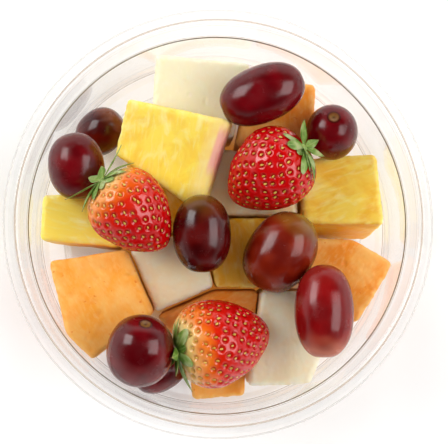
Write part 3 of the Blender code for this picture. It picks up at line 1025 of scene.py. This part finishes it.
def make_leaves(berry, matrix, dice, material):
    """The leaves round the stem and the green button that they grow from, as one mesh."""
    made = bmesh.new()
    vein = made.verts.layers.float.new("vein")
    tip = made.verts.layers.float.new("tip")
    for leaf in LEAVES[berry.name]:
        grid, ways, steps, across = leaf_points(berry, leaf, dice)
        layers = []
        for lift in (0.0, LEAF_THICKNESS):
            layer = []
            for i, t in enumerate(steps):
                row = []
                for j, s in enumerate(across):
                    vertex = made.verts.new(grid[i, j] + ways[i, j] * lift * (1 - 0.6 * abs(s)))
                    vertex[vein] = 1 - abs(s)
                    vertex[tip] = t
                    row.append(vertex)
                layer.append(row)
            layers.append(layer)
        under, over = layers
        for i in range(LEAF_STEPS):
            for j in range(LEAF_SIDES):
                made.faces.new((over[i][j], over[i + 1][j], over[i + 1][j + 1], over[i][j + 1]))
                made.faces.new((under[i][j], under[i][j + 1], under[i + 1][j + 1], under[i + 1][j]))
            for j in (0, LEAF_SIDES):
                made.faces.new((under[i][j], under[i + 1][j], over[i + 1][j], over[i][j]))
        for i in (0, LEAF_STEPS):
            for j in range(LEAF_SIDES):
                made.faces.new((under[i][j], over[i][j], over[i][j + 1], under[i][j + 1]))
    button = bmesh.ops.create_uvsphere(made, u_segments=20, v_segments=12, radius=1.0)["verts"]
    for vertex in button:
        lump = 1 + 0.12 * noise.noise(vertex.co * 2.2)
        vertex.co = Vector((vertex.co.x * 0.8, vertex.co.y * 1.5, vertex.co.z * 1.5)) * lump * MM
        vertex.co.x -= berry.length / 2 * MM + 0.7 * MM
        vertex[vein] = 0.9
    bmesh.ops.recalc_face_normals(made, faces=made.faces)
    mesh = bpy.data.meshes.new(berry.name + "_leaves")
    made.to_mesh(mesh)
    made.free()
    mesh.transform(matrix)
    add_object(berry.name + "_leaves", mesh, material, "sepal", berry.name + "_calyx")


def make_berry(berry, seed_material, leaf_material):
    dice = random.Random(berry.name)
    angle = np.linspace(0, math.pi, 61)[:, None]
    around = 2 * math.pi * np.arange(80)[None, :] / 80
    whole = berry_points(berry, angle, around).reshape(-1, 3)
    matrix = placing(berry.name, turned_by(berry.turn, berry.pitch, berry.roll), whole)
    seed_angle, seed_around = seed_places(berry, dice)
    make_flesh(berry, matrix, berry_points(berry, seed_angle, seed_around))
    make_seeds(berry, matrix, seed_angle, seed_around, dice, seed_material)
    make_leaves(berry, matrix, dice, leaf_material)


# Studio


def make_camera():
    back = (CAMERA_PLACE - CAMERA_TARGET).normalized()
    right = Vector((0.0, 1.0, 0.0)).cross(back).normalized()
    up = back.cross(right)
    data = bpy.data.cameras.new("camera")
    data.lens = LENS_MM
    data.clip_start = 0.05
    data.clip_end = 50.0
    camera = bpy.data.objects.new("camera", data)
    camera.matrix_world = Matrix.Translation(CAMERA_PLACE) @ Matrix((right, up, back)).transposed().to_4x4()
    bpy.context.scene.collection.objects.link(camera)
    bpy.context.scene.camera = camera


def make_soft_box(box):
    data = bpy.data.lights.new(box.name, "AREA")
    data.shape = "RECTANGLE"
    data.size, data.size_y = box.size
    data.energy = box.radiance * math.pi * box.size[0] * box.size[1]
    made = bpy.data.objects.new(box.name, data)
    back = Vector(box.direction).normalized()
    right = Vector((0.0, 1.0, 0.0)).cross(back).normalized()
    place = Matrix.Translation(back * LIGHT_DISTANCE)
    made.matrix_world = place @ Matrix((right, back.cross(right), back)).transposed().to_4x4()
    made.visible_camera = False
    made.visible_glossy = box.mirrored
    bpy.context.scene.collection.objects.link(made)


def make_world():
    """A pale room: bright round the horizon, most of all at the back, and dim overhead."""
    world = bpy.data.worlds.new("studio")
    bpy.context.scene.world = world
    world.use_nodes = True
    nodes, links = world.node_tree.nodes, world.node_tree.links
    direction = nodes.new("ShaderNodeTexCoord")
    split = nodes.new("ShaderNodeSeparateXYZ")
    links.new(direction.outputs["Generated"], split.inputs[0])
    fade = nodes.new("ShaderNodeMapRange")
    fade.interpolation_type = "SMOOTHSTEP"
    fade.inputs["From Min"].default_value = WORLD_FADE[0]
    fade.inputs["From Max"].default_value = WORLD_FADE[1]
    fade.inputs["To Min"].default_value = WORLD_HORIZON
    fade.inputs["To Max"].default_value = WORLD_ABOVE
    links.new(split.outputs["Z"], fade.inputs["Value"])
    ahead = nodes.new("ShaderNodeMapRange")
    ahead.inputs["From Min"].default_value = WORLD_TURN[0]
    ahead.inputs["From Max"].default_value = WORLD_TURN[1]
    ahead.inputs["To Min"].default_value = WORLD_FRONT
    links.new(split.outputs["Y"], ahead.inputs["Value"])
    strength = nodes.new("ShaderNodeMath")
    strength.operation = "MULTIPLY"
    links.new(fade.outputs[0], strength.inputs[0])
    links.new(ahead.outputs[0], strength.inputs[1])
    links.new(strength.outputs[0], nodes["Background"].inputs["Strength"])
    nodes["Background"].inputs["Color"].default_value = (1.0, 1.0, 1.0, 1.0)


def make_floor():
    mesh = bpy.data.meshes.new("floor")
    corners = [(x * FLOOR_HALF, y * FLOOR_HALF, 0) for x, y in ((-1, -1), (1, -1), (1, 1), (-1, 1))]
    mesh.from_pydata(corners, [], [(0, 1, 2, 3)])
    look = Look("floor")
    speckle = look.noise(0.02, 2.0)
    colour = look.mix(speckle, paint(242, 242, 242), paint(245, 245, 244))
    here = look.add("TexCoord").outputs["Object"]
    away = look.add("VectorMath", {0: here}, operation="LENGTH").outputs["Value"]
    strength = look.between(away, *FLOOR_FADE, FLOOR_GLOW, FAR_FLOOR_GLOW)
    glow = {"Emission_Color": (1.0, 1.0, 1.0, 1.0), "Emission_Strength": strength}
    mesh.materials.append(look.done(look.skin(Base_Color=colour, Roughness=0.7, **glow)))
    floor = bpy.data.objects.new("floor", mesh)
    bpy.context.scene.collection.objects.link(floor)


def make_studio():
    bpy.context.scene.view_settings.view_transform = "Standard"
    make_camera()
    make_world()
    make_floor()
    for box in SOFT_BOXES:
        make_soft_box(box)


def make_salad():
    make_bowl()
    for chunk in CHUNKS:
        make_chunk(chunk)
    grape_materials = {kind: grape_look(kind) for kind in GRAPE_COLOURS}
    for grape in GRAPES:
        make_grape(grape, grape_materials[grape.kind])
    seed_material = seed_look("strawberry_seed", (196, 150, 40), (232, 196, 92))
    leaf_material = leaf_look()
    for berry in BERRIES:
        make_berry(berry, seed_material, leaf_material)


make_studio()
make_salad()
